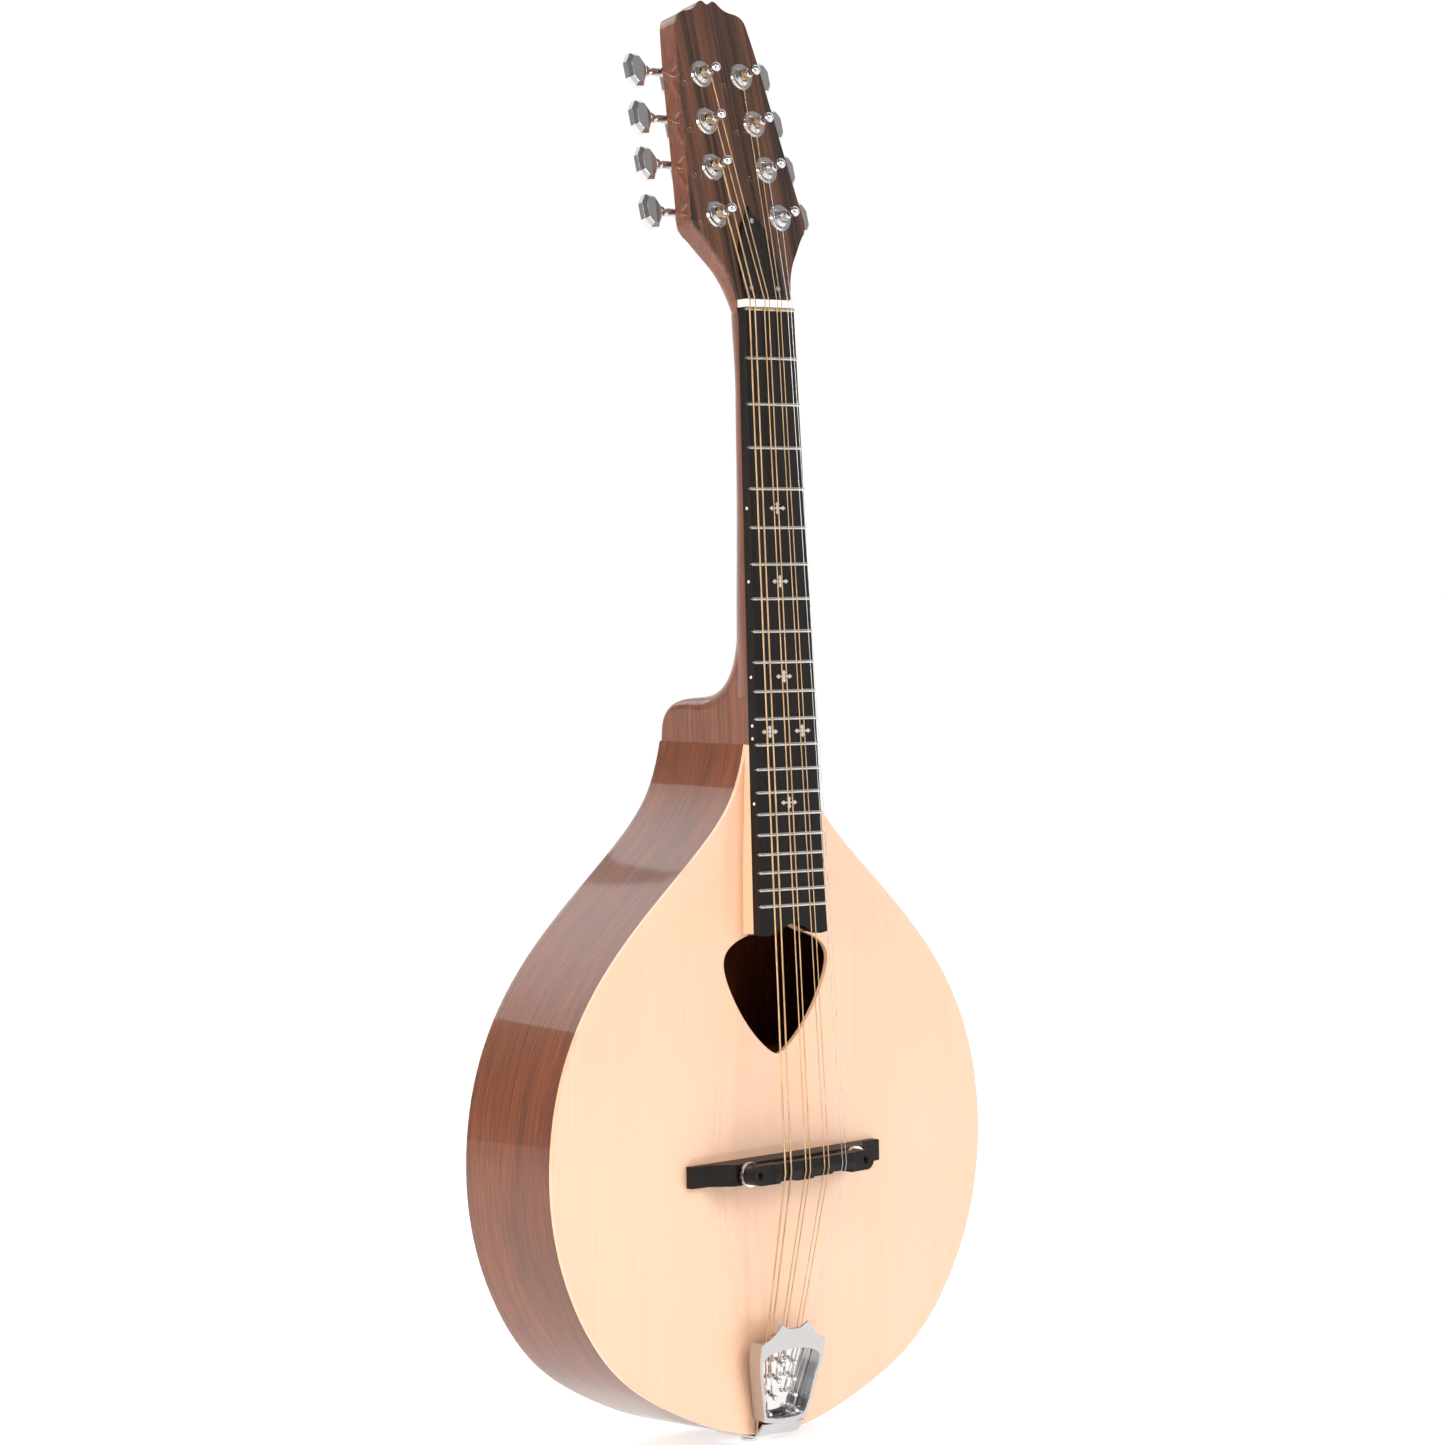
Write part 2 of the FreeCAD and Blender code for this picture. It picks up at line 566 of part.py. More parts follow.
def tuner_plate(side, p):
    """Base plate under a gearbox, with a screw ear below it."""
    back = HEAD_THICK + PLATE_THICK
    plate = across(side, HOUSING_IN + 0.4, HOUSING_OUT + 0.4, HEAD_THICK, back, -11.4, 12.4)
    plate = plate.makeFillet(3.0, [e for e in plate.Edges if e.BoundBox.YLength > 0.5 and e.Length < 1])
    plate.translate(Vector(p.x, 0, p.z))
    plate = plate.cut(rod(POST_R + RUN, p, p + Vector(0, 30, 0)))
    screw = p + Vector(0, 0, -TUNER_SCREW_DOWN)
    return plate.cut(rod(0.95, screw, screw + Vector(0, 30, 0)))


def tuner_housing(side, p):
    """Domed cover over worm and wheel."""
    y0 = HEAD_THICK + PLATE_THICK
    y1 = y0 + HOUSING_DEEP
    outer = across(side, HOUSING_IN, HOUSING_OUT, y0, y1, -6.6, 12.0)
    rounded = [e for e in outer.Edges if e.BoundBox.YMax > y1 - 0.1 or e.BoundBox.YLength > 5]
    outer = outer.makeFillet(2.4, rounded)
    wall = HOUSING_WALL
    cavity = across(side, HOUSING_IN - wall, HOUSING_OUT - wall, y0 - 1, y1 - wall, wall - 6.6, 12.0 - wall)
    shell = outer.cut(cavity)
    shell.translate(Vector(p.x, 0, p.z))
    axis = Vector(p.x, WORM_Y, p.z + WORM_UP)
    return shell.cut(rod(SHAFT_R + RUN, axis, axis + Vector(side * (HOUSING_OUT + 5), 0, 0)))


def tuner_screw(p):
    screw = p + Vector(0, 0, -TUNER_SCREW_DOWN)
    y0 = HEAD_THICK + PLATE_THICK
    head = rod(1.75, screw + Vector(0, y0, 0), screw + Vector(0, y0 + 1.0, 0))
    head = head.cut(box(screw.x - 1.2, screw.x + 1.2, y0 + 0.5, y0 + 2, screw.z - 0.25, screw.z + 0.25))
    return head.fuse(rod(0.9, screw + Vector(0, HEAD_THICK - 6, 0), screw + Vector(0, y0, 0)))


def tuner_washer(p):
    disc = cone(8.8, 8.1, p, p + Vector(0, -1.2, 0))
    return disc.cut(rod(4.9, p + Vector(0, 1, 0), p + Vector(0, -3, 0)))


def tuner_bushing(p):
    lip = cone(6.2, 4.6, p + Vector(0, -1.2, 0), p + Vector(0, -3.4, 0))
    sleeve = rod(4.8, p + Vector(0, -1.2, 0), p + Vector(0, HEAD_THICK - 0.2, 0))
    bore = rod(POST_R + RUN, p + Vector(0, -5, 0), p + Vector(0, 40, 0))
    return lip.fuse(sleeve).removeSplitter().cut(bore)


# --- bridge, drawn about its own middle: X along it, -Y out of the soundboard -----------------
def bridge_base(top):
    profile = [(BASE_BASS, 2.0), (BASE_BASS, -BASE_END_HIGH), (-RAMP_FOOT, -BASE_END_HIGH - 1.4),
               (-RAMP_TOP, -BASE_HIGH), (RAMP_TOP, -BASE_HIGH), (RAMP_FOOT, -BASE_END_HIGH - 1.4),
               (BASE_TREBLE, -BASE_END_HIGH), (BASE_TREBLE, 2.0)]
    corners = [Vector(x, y, 0) for x, y in profile + profile[:1]]
    edges = [Part.LineSegment(a, b).toShape() for a, b in zip(corners, corners[1:])]
    face = Part.Face(Part.Wire(edges))
    face.translate(Vector(0, 0, -BASE_WIDE / 2))
    bar = face.extrude(Vector(0, 0, BASE_WIDE))
    front = [e for e in bar.Edges if e.Length > 5 and e.BoundBox.YMax < 1.9 and e.BoundBox.ZLength < 0.1]
    bar = put(bar.makeChamfer(0.6, front), BRIDGE_FRAME)
    return bar.cut(top).cut(put(group(studs(BRIDGE_STUD_R, STUD_END)), BRIDGE_FRAME)).Solids[0]


def studs(radius, end):
    return [rod(radius, Vector(x, -7.0, 0), Vector(x, -end, 0)) for x in (-POST_SPREAD, POST_SPREAD)]


def thumbwheel(x):
    front, back = -WHEEL_FRONT, -WHEEL_FRONT + WHEEL_THICK
    wheel = rod(WHEEL_R, Vector(x, front, 0), Vector(x, back, 0))
    notches = 40
    for n in range(notches):
        angle = 2 * math.pi * n / notches
        p = Vector(x + math.cos(angle) * (WHEEL_R + 0.12), 0, math.sin(angle) * (WHEEL_R + 0.12))
        wheel = wheel.cut(rod(0.34, p + Vector(0, front - 1, 0), p + Vector(0, back + 1, 0)))
    return wheel.cut(rod(BRIDGE_STUD_R + RUN, Vector(x, front - 1, 0), Vector(x, back + 1, 0)))


def saddle_outline():
    """Front view: round ends, and a lower edge stepped under each course to even out the tuning."""
    left, right = SADDLE_ENDS
    low, high = -6.4, 6.0
    upper, lower = high - 1.9, low + 1.9
    steps = [(left + 6.5, low), (-30.5, low), (-30.0, -5.2), (-16.5, -5.2), (-16.0, -6.2), (-1.5, -6.2),
             (-1.0, -5.3), (15.0, -5.3), (15.5, -4.2), (32.0, -4.2), (32.5, low), (right - 6.5, low)]
    ends = [arc((left + 6.5, high), (left + 1.9, upper), (left, 0)),
            arc((left, 0), (left + 1.9, lower), steps[0]),
            arc(steps[-1], (right - 1.9, lower), (right, 0)),
            arc((right, 0), (right - 1.9, upper), (right - 6.5, high))]
    return closed(ends + path(steps) + [line((right - 6.5, high), (left + 6.5, high))])


def saddle():
    """The adjustable saddle: flat ends over the thumbwheels and a raised crown under the strings."""
    under = -WHEEL_FRONT - 0.05
    body = slab(saddle_outline(), under, -SADDLE_END_HIGH)
    wide, shoulder, half = 12.0, 0.5 - SADDLE_END_HIGH, CROWN_HALF
    ridge = [Vector(-half, shoulder, -wide), Vector(-half, wide * CROWN_FALL_TAIL - SADDLE_HIGH, -wide),
             Vector(-half, -SADDLE_HIGH, 0), Vector(-half, wide * CROWN_FALL_NECK - SADDLE_HIGH, wide),
             Vector(-half, shoulder, wide)]
    crown = Part.Face(Part.makePolygon(ridge + ridge[:1])).extrude(Vector(2 * half, 0, 0))
    ramp = [Vector(x, y, -wide) for x, y in ((-half, shoulder), (4.0 - half, -SADDLE_HIGH - 0.2),
                                             (half - 4.0, -SADDLE_HIGH - 0.2), (half, shoulder))]
    crown = crown.common(Part.Face(Part.makePolygon(ramp + ramp[:1])).extrude(Vector(0, 0, 2 * wide)))
    body = body.fuse(crown.common(slab(saddle_outline(), under, -SADDLE_HIGH - 1))).removeSplitter()
    body = body.cut(studs(BRIDGE_STUD_R + RUN, STUD_BORE_END))
    for x in (-POST_SPREAD, POST_SPREAD):
        mouth = Vector(x, -SADDLE_END_HIGH, 0)
        body = body.cut(rod(1.7, Vector(x, -30, 0), Vector(x, -40, 0)))
        body = body.cut(cone(2.7, 1.7, mouth, mouth + Vector(0, 1.0, 0)))
    return body.cut(box(-28, 28, -28.6, -20, -10, 10))


# --- tailpiece, drawn in its own plane: Z measured up from its top cusps, +Y towards the body ------
def cover_wire(inset):
    cusp, corner = (11.6 - inset * 0.3, 2.2 - inset), (27.2 - inset, -9.6 - inset)
    right = [curve([(0, -1.4 - inset), (6.6, -0.6 - inset), cusp], (6, 0), (4, 2)),
             curve([cusp, (15.0, -2.6 - inset), (20.4, -6.9 - inset), corner], (3, -4), (6, -1.6)),
             curve([corner, (27.6 - inset, -17.0), (24.6 - inset, -34.0), (19.4 - inset, -54.0),
                    (18.2 - inset, -60.0 + inset)], (0.6, -6), (-0.6, -6)),
             curve([(18.2 - inset, -60.0 + inset), (9.0, -61.6 + inset), (0, -62.0 + inset)],
                   (-6, -1.4), (-6, 0))]
    return both_sides(right)


def window_wire():
    right = [curve([(0, -14.4), (12.0, -15.0), (20.5, -17.6), (24.6, -20.8)], (8, 0), (3.4, -3.4)),
             curve([(24.6, -20.8), (23.6, -28.0), (20.6, -42.0), (17.2, -54.5), (16.2, -57.0)],
                   (0.5, -6), (-1.4, -5)),
             curve([(16.2, -57.0), (9.0, -58.4), (0, -58.8)], (-6, -1.4), (-6, 0))]
    return both_sides(right)


def tailpiece_cover():
    outer = slab(cover_wire(0), 0, COVER_DEEP)
    inner = slab(cover_wire(COVER_THICK), COVER_THICK, 20)
    mouth = box(-26.0, 26.0, COVER_THICK, 20, -16.0, 10)
    strap_notch = box(-15.4, 15.4, PLATE_FRONT - 0.3, 20, -70, -58)
    shell = outer.cut(inner).cut(mouth).cut(slab(window_wire(), -5, 5)).cut(strap_notch)
    skirt = Part.Face(Part.makePolygon([Vector(0, 0.2, -61.6), Vector(0, 2.0, -61.6), Vector(0, 7.2, -69.6),
                                        Vector(0, 5.6, -70.4), Vector(0, 0.2, -61.6)]))
    skirt.translate(Vector(-17.6, 0, 0))
    apron = skirt.extrude(Vector(35.2, 0, 0))
    return put(shell.fuse(apron).removeSplitter().Solids[0], TAIL)


def hook(x, down):
    foot = Vector(x, HOOK_FOOT_Y, -down)
    return rod(HOOK_R, foot, foot + HOOK_OUT * HOOK_LONG).fuse(ball(1.75, foot + HOOK_OUT * HOOK_LONG))


def tailpiece_base():
    """Hook plate with its string comb, screwed behind the cover."""
    window = box(-25, 25, 0, 20, -70, COMB_TOP)
    plate = slab(cover_wire(COVER_THICK + 0.3), PLATE_FRONT, PLATE_BACK).common(window)
    comb = box(-23, 23, COMB_Y, PLATE_BACK, COMB_FOOT, COMB_TOP)
    pins = [hook(side * x, down) for x, down in HOOK_ROWS for side in (-1, 1)]
    return joined([plate, comb] + pins)


def tailpiece_strap():
    """The bent foot: it carries on from the hook plate, turns round the edge and runs under the rim."""
    front = TAIL.multVec(Vector(0, PLATE_FRONT, -60.0))
    back = TAIL.multVec(Vector(0, PLATE_BACK, -60.0))
    far = FRONT + 34.0
    outer = [front, Vector(0, FRONT - 2.9, 8.6), Vector(0, FRONT - 1.9, 5.7), Vector(0, FRONT - 0.6, STRAP_Z),
             Vector(0, far, STRAP_Z)]
    inner = [Vector(0, far, STRAP_Z + STRAP_THICK), Vector(0, FRONT - 0.3, STRAP_Z + STRAP_THICK),
             Vector(0, FRONT - 1.3, 9.0), back]
    face = Part.Face(Part.makePolygon(outer + inner + outer[:1]))
    face.translate(Vector(-15, 0, 0))
    return face.extrude(Vector(30, 0, 0))


def strap_button():
    """Flanged button with its screw; its outer face is the origin."""
    head = joined([rod(5.5, Vector(0, 0, 0), Vector(0, 0, 1.6)),
                   cone(5.5, 3.4, Vector(0, 0, 1.6), Vector(0, 0, 2.6)),
                   rod(3.4, Vector(0, 0, 2.6), Vector(0, 0, STRAP_Z - 0.05)),
                   rod(1.6, Vector(0, 0, STRAP_Z - 0.1), Vector(0, 0, 26.0))])
    cross = box(-2, 2, -0.35, 0.35, -1, 0.7).fuse(box(-0.35, 0.35, -2, 2, -1, 0.7))
    return head.makeFillet(0.5, [e for e in head.Edges if e.BoundBox.ZMax < 0.01]).cut(cross)


def strap_screws():
    screws = []
    for x in (-9, 9):
        seat = Vector(x, 6.5, STRAP_Z - 0.05)
        head = rod(1.9, seat - Vector(0, 0, 1.1), seat)
        screws.append(head.fuse(rod(1.2, seat, seat + Vector(0, 0, 15.2))))
    return screws


# --- strings ------------------------------------------------------------------------------
def tube(points, radius, bends):
    """Straight runs joined by tangent arcs; bends gives each inner corner's radius."""
    edges = []
    last = points[0]
    for before, corner, after, bend in zip(points, points[1:], points[2:], bends):
        a = (before - corner).normalize()
        b = (after - corner).normalize()
        half = math.pi / 2 - a.getAngle(b) / 2
        reach = bend * math.tan(half)
        start, end = corner + a * reach, corner + b * reach
        middle = corner + (a + b).normalize() * (bend / math.cos(half) - bend)
        edges.append(Part.LineSegment(last, start).toShape())
        edges.append(Part.Arc(start, middle, end).toShape())
        last = end
    edges.append(Part.LineSegment(last, points[-1]).toShape())
    spine = Part.Wire(edges)
    profile = Part.Wire([Part.Circle(points[0], points[1] - points[0], radius).toShape()])
    return spine.makePipeShell([profile], True, False)


def string_loop(hook_x, down, radius):
    """The eye round the hook, and the point just above it where the string's run starts."""
    centre = Vector(hook_x, HOOK_FOOT_Y, -down) + HOOK_OUT * LOOP_OUT
    ring_r = HOOK_R + radius + 0.1
    above = Vector(0, math.sin(HOOK_DROOP) * -1, math.cos(HOOK_DROOP))
    return Part.makeTorus(ring_r, radius, centre, HOOK_OUT), centre + above * (ring_r + radius + 0.15)


def winding(post, radius):
    """Turns of string side by side round a tuner post."""
    pitch = 2 * radius + 0.02
    turns = min(5, int(3.2 / pitch))
    rings = []
    for n in range(turns):
        centre = post + Vector(0, WIND_Y + (n - (turns - 1) / 2) * pitch, 0)
        rings.append(Part.makeTorus(WIND_CLEAR + radius, radius, centre, Vector(0, 1, 0)))
    return rings


def string(index):
    """From its eye on the hook over comb, saddle and zero fret to its winding on the tuner post."""
    gauge, x_nut, x_saddle, x_comb, row = STRINGS[index]
    side, post_row = POST_OF_STRING[index]
    radius = gauge / 2
    eye, start = string_loop(side * HOOK_ROWS[row][0], HOOK_ROWS[row][1], radius)
    post = Vector(side * POST_HALF[post_row], 0, POST_UP[post_row])
    ring_r = WIND_CLEAR + radius
    short = 2 * math.sqrt(radius * (ring_r + radius)) + 0.2
    corners = [TAIL.multVec(start),
               TAIL.multVec(Vector(x_comb, COMB_Y - radius - 0.06, COMB_FOOT - 0.1)),
               BRIDGE_FRAME.multVec(Vector(x_saddle, -SADDLE_HIGH - radius - STRING_GAP, 0)),
               NECK.multVec(Vector(x_nut, -FRET_HIGH - radius - 0.02, 0)),
               NECK.multVec(Vector(x_nut, -FRET_HIGH - radius - 0.02, 7.2)),
               HEAD.multVec(Vector(post.x - side * ring_r, WIND_Y, post.z - short))]
    run = tube(corners, radius, [1.5, 4.0, 30.0, 8.0])
    return [run, put(eye, TAIL)] + [put(ring, HEAD) for ring in winding(post, radius)]


def build():
    top = soundboard()
    channel = rod_channel()
    inlays = position_inlays()
    dots = side_dots()
    body_with_hole = slab(BODY_WIRE, FRONT, TOP_IN).fuse(dome(FRONT))
    nodes["soundboard"] = top
    nodes["back_plate"] = slab(BODY_WIRE, BACK_IN, FRONT + DEPTH)
    nodes["rim_left"] = rim(-1)
    nodes["rim_right"] = rim(1)
    nodes["neck_block"] = neck_block()
    nodes["tail_block"] = tail_block()
    nodes["linings_top"] = linings(TOP_IN, TOP_IN + 14)
    nodes["linings_back"] = linings(BACK_IN - 14, BACK_IN)
    nodes["top_braces"] = top_braces()
    nodes["back_braces"] = back_braces()
    nodes["neck"] = neck(channel)
    nodes["headstock_veneer"] = headstock_veneer(channel)
    nodes["fingerboard"] = put(fingerboard(inlays, dots), NECK)
    nodes["fingerboard_wedge"] = wedge()
    nodes["position_inlays"] = put(inlays, NECK)
    nodes["side_dots"] = put(dots, NECK)
    frets = [fret_wire(fret_down(n), FRET_HIGH - 0.15) for n in range(1, FRETS + 1)]
    nodes["frets"] = put(group(frets), NECK)
    nodes["zero_fret"] = put(fret_wire(0.0, FRET_HIGH), NECK)
    nodes["nut"] = put(nut(), NECK)
    nodes["truss_rod"] = put(truss_rod(), NECK)
    nodes["truss_rod_nut"] = put(truss_rod_nut(), NECK)
    screws = truss_cover_screws()
    nodes["truss_rod_cover"] = put(truss_cover().cut(screws), HEAD)
    nodes["truss_cover_screws"] = put(group([screw.cut(screw_slots()) for screw in screws]), HEAD)
    nodes["headstock_veneer"] = nodes["headstock_veneer"].cut(put(group(screws), HEAD).Solids)
    nodes["neck"] = nodes["neck"].cut(put(group(screws), HEAD).Solids)
    tuner_screws = [tuner_screw(p) for _, _, p in each_post()]
    nodes["neck"] = nodes["neck"].cut(put(group(tuner_screws), HEAD).Solids)
    nodes["tuner_plates"] = put(group([tuner_plate(side, p) for side, _, p in each_post()]), HEAD)
    nodes["tuner_housings"] = put(group([tuner_housing(side, p) for side, _, p in each_post()]), HEAD)
    nodes["tuner_screws"] = put(group(tuner_screws), HEAD)
    nodes["tuner_washers"] = put(group([tuner_washer(p) for _, _, p in each_post()]), HEAD)
    nodes["tuner_bushings"] = put(group([tuner_bushing(p) for _, _, p in each_post()]), HEAD)
    for side, row, p in each_post():
        name = ("bass_" if side < 0 else "treble_") + str(row + 1)
        nodes["post_" + name] = put(tuner_post(p), HEAD)
        nodes["button_" + name] = put(tuner_button(side, p), HEAD)
    nodes["bridge_base"] = bridge_base(body_with_hole)
    nodes["bridge_studs"] = put(group(studs(BRIDGE_STUD_R, STUD_END)), BRIDGE_FRAME)
    nodes["thumbwheel_bass"] = put(thumbwheel(-POST_SPREAD), BRIDGE_FRAME)
    nodes["thumbwheel_treble"] = put(thumbwheel(POST_SPREAD), BRIDGE_FRAME)
    nodes["bridge_saddle"] = put(saddle(), BRIDGE_FRAME)
    nodes["tailpiece_cover"] = tailpiece_cover()
    nodes["tailpiece_hook_plate"] = put(tailpiece_base(), TAIL)
    nodes["tailpiece_strap"] = tailpiece_strap()
    nodes["strap_button"] = strap_button()
    nodes["strap_screws"] = group(strap_screws())
    holes = nodes["strap_screws"].Solids + nodes["strap_button"].Solids
    for name in ("tailpiece_strap", "rim_left", "rim_right", "tail_block"):
        nodes[name] = nodes[name].cut(holes)
    for course, name in enumerate(("g", "d", "a", "e")):
        nodes["strings_" + name] = group([*string(2 * course), *string(2 * course + 1)])


if __name__ == "__main__":
    os.makedirs("parts", exist_ok=True)
    build()
    for name, shape in nodes.items():
        shape.exportStep("parts/" + name + ".step")
        bb = shape.BoundBox
        print(name, shape.isValid(), len(shape.Solids), round(shape.Volume), [round(v, 1) for v in (
            bb.XMin, bb.XMax, bb.YMin, bb.YMax, bb.ZMin, bb.ZMax)])
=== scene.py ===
import math

import bpy
from mathutils import Matrix, Vector


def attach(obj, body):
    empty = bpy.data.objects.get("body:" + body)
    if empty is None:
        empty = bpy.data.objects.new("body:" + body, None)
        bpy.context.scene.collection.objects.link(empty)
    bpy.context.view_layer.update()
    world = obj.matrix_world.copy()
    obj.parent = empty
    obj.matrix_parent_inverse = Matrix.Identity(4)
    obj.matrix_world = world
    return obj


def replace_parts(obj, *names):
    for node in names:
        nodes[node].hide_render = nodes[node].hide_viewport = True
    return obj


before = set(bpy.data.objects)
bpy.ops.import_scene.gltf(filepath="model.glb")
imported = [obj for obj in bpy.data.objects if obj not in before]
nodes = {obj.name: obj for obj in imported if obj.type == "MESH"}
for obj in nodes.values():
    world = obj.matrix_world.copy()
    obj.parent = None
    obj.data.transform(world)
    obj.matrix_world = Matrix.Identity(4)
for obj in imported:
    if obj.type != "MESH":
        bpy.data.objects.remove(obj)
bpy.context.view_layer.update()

# Bouzouki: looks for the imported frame. Metres, +Z up the instrument, the soundboard faces -Y.

MM = 0.001


# --- frames that the neck, headstock, bridge and tailpiece are drawn in ---------------------------
def leaning(origin, degrees):
    """A frame whose Z leans back by that many degrees."""
    return Matrix.Translation(origin) @ Matrix.Rotation(math.radians(-degrees), 4, "X")


FRONT = -0.020
NECK = leaning(Vector((0, FRONT + 5.6 * MM, 707.5 * MM)), 3.53)
HEAD = leaning(NECK @ Vector((0, 2.4 * MM, 0)), 3.53 + 12.28)
TAIL = leaning(Vector((0, FRONT - 20.5 * MM, 76.0 * MM)), -8.4)
BRIDGE = Matrix.Translation((2.0 * MM, FRONT, 176.0 * MM)) @ Matrix.Rotation(math.radians(-1.9), 4, "Y")


# --- materials --------------------------------------------------------------------------------------
class Shader:
    """A node material with the few building blocks that all the finishes share."""

    def __init__(self, name, **sockets):
        self.material = bpy.data.materials.new(name)
        self.material.use_nodes = True
        self.tree = self.material.node_tree
        self.surface = self.tree.nodes["Principled BSDF"]
        self.place = self.add("ShaderNodeTexCoord").outputs["Object"]
        for socket, value in sockets.items():
            self.surface.inputs[socket.replace("_", " ")].default_value = value

    def add(self, kind):
        return self.tree.nodes.new(kind)

    def link(self, source, target):
        self.tree.links.new(source, target)

    def to(self, source, socket):
        self.link(source, self.surface.inputs[socket])

    def stretched(self, x, y, z, lean=0.0):
        """The object's own coordinates, leaned back by that many degrees, then scaled along each axis."""
        mapping = self.add("ShaderNodeMapping")
        mapping.vector_type = "TEXTURE"
        mapping.inputs["Scale"].default_value = (1 / x, 1 / y, 1 / z)
        mapping.inputs["Rotation"].default_value = (math.radians(-lean), 0, 0)
        self.link(self.place, mapping.inputs["Vector"])
        return mapping.outputs["Vector"]

    def noise(self, vector, detail=3.0, rough=0.55, scale=1.0, warp=0.0):
        node = self.add("ShaderNodeTexNoise")
        node.inputs["Scale"].default_value = scale
        node.inputs["Detail"].default_value = detail
        node.inputs["Roughness"].default_value = rough
        node.inputs["Distortion"].default_value = warp
        self.link(vector, node.inputs["Vector"])
        return node.outputs["Fac"]

    def ramp(self, fac, stops):
        """Colours, or grey values, at places from 0 to 1."""
        node = self.add("ShaderNodeValToRGB")
        elements = node.color_ramp.elements
        while len(elements) < len(stops):
            elements.new(0.5)
        for element, (place, value) in zip(elements, stops):
            element.position = place
            element.color = (*value, 1) if isinstance(value, tuple) else (value, value, value, 1)
        self.link(fac, node.inputs["Fac"])
        return node.outputs["Color"]

    def mix(self, fac, a, b, blend="MIX"):
        node = self.add("ShaderNodeMix")
        node.data_type = "RGBA"
        node.blend_type = blend
        for value, index in ((fac, 0), (a, 6), (b, 7)):
            socket = node.inputs[index]
            if isinstance(value, bpy.types.NodeSocket):
                self.link(value, socket)
            elif isinstance(value, tuple):
                socket.default_value = (*value, 1)
            else:
                socket.default_value = value
        return node.outputs[2]

    def math(self, operation, a, b=0.0):
        node = self.add("ShaderNodeMath")
        node.operation = operation
        for value, socket in ((a, node.inputs[0]), (b, node.inputs[1])):
            if isinstance(value, bpy.types.NodeSocket):
                self.link(value, socket)
            else:
                socket.default_value = value
        return node.outputs[0]

    def bump(self, height, strength, depth, edge=0.0):
        """Fine relief over the surface, and edges rounded by that radius."""
        node = self.add("ShaderNodeBump")
        node.inputs["Strength"].default_value = strength
        node.inputs["Distance"].default_value = depth
        self.link(height, node.inputs["Height"])
        if edge:
            rounded = self.add("ShaderNodeBevel")
            rounded.samples = 4
            rounded.inputs["Radius"].default_value = edge
            self.link(rounded.outputs["Normal"], node.inputs["Normal"])
        self.to(node.outputs["Normal"], "Normal")


def wood(name, dark, light, vein, fine, broad, figure, depth, edge, pores=0.0, vein_strength=0.55,
         lean=0.0, drift_ends=(0.3, 0.7), **sockets):
    """Grain from a fine streak, a broad colour drift and a darker vein; fine and broad are axis scales."""
    s = Shader(name, **sockets)
    streak = s.noise(s.stretched(*fine, lean), 4.0, 0.6)
    drift = s.noise(s.stretched(*broad, lean), 3.0, 0.55, warp=figure)
    base = s.mix(s.ramp(drift, [(drift_ends[0], 0.0), (drift_ends[1], 1.0)]), dark, light)
    veins = s.ramp(streak, [(0.36, 1.0), (0.62, 0.0)])
    colour = s.mix(s.math("MULTIPLY", veins, vein_strength), base, vein)
    height = streak
    if pores:
        dash = s.noise(s.stretched(*(v * 2.1 for v in fine), lean), 1.0, 0.4)
        holes = s.ramp(dash, [(0.60, 0.0), (0.70, 1.0)])
        colour = s.mix(s.math("MULTIPLY", holes, pores), colour, tuple(c * 0.35 for c in vein))
        height = s.math("SUBTRACT", streak, s.math("MULTIPLY", holes, 0.8))
    s.to(colour, "Base Color")
    rough = sockets.get("Roughness", 0.4)
    s.to(s.ramp(streak, [(0.0, rough * 0.85), (1.0, min(1.0, rough * 1.2))]), "Roughness")
    s.bump(height, 0.25, depth, edge)
    return s.material


def metal(name, colour, rough, edge=0.00025, grain=(900, 900, 900), depth=0.00002, wear=0.25, **sockets):
    """Polished or drawn metal: faint scuffs in the gloss and a slight stain in the colour."""
    s = Shader(name, Metallic=1.0, **sockets)
    scuff = s.noise(s.stretched(*grain), 5.0, 0.7)
    cloud = s.noise(s.stretched(60, 60, 60), 3.0)
    stained = tuple(c * 0.8 for c in colour)
    s.to(s.mix(s.ramp(cloud, [(0.35, 0.0), (0.75, wear)]), colour, stained), "Base Color")
    s.to(s.ramp(scuff, [(0.3, rough * 0.7), (0.8, min(1.0, rough * 1.7))]), "Roughness")
    s.bump(scuff, 0.15, depth, edge)
    return s.material


def wound(name, colour, dark, pitch, rough):
    """Wire wound round a core: fine turns along the string, with painted shade in the gaps between them."""
    s = Shader(name, Metallic=1.0, Roughness=rough)
    wave = s.add("ShaderNodeTexWave")
    wave.wave_type = "BANDS"
    wave.bands_direction = "Z"
    wave.inputs["Scale"].default_value = math.pi / (10.0 * pitch)
    wave.inputs["Distortion"].default_value = 0.4
    s.link(s.place, wave.inputs["Vector"])
    turns = s.ramp(wave.outputs["Fac"], [(0.05, 0.0), (0.45, 1.0)])
    stain = s.noise(s.stretched(220, 220, 60), 3.0)
    tone = s.mix(s.ramp(stain, [(0.35, 0.0), (0.8, 0.6)]), colour, dark)
    # Painted shade: the gaps between the turns take the dark colour, which also serves as the real tarnish
    # above.
    s.to(s.mix(turns, dark, tone), "Base Color")
    s.bump(wave.outputs["Fac"], 0.5, 0.00006)
    return s.material


GLOSS = {"Coat Weight": 1.0, "Coat Roughness": 0.03, "Coat IOR": 1.5}


def gloss(**more):
    return {**{k.replace(" ", "_"): v for k, v in GLOSS.items()}, **more}


SPRUCE_COLOURS = (0.85, 0.54, 0.365), (0.88, 0.565, 0.385), (0.81, 0.49, 0.32)
MAHOGANY = (0.14, 0.031, 0.007), (0.25, 0.066, 0.016), (0.05, 0.012, 0.003)
EBONY = (0.008, 0.0065, 0.0065), (0.015, 0.012, 0.011), (0.004, 0.003, 0.003)

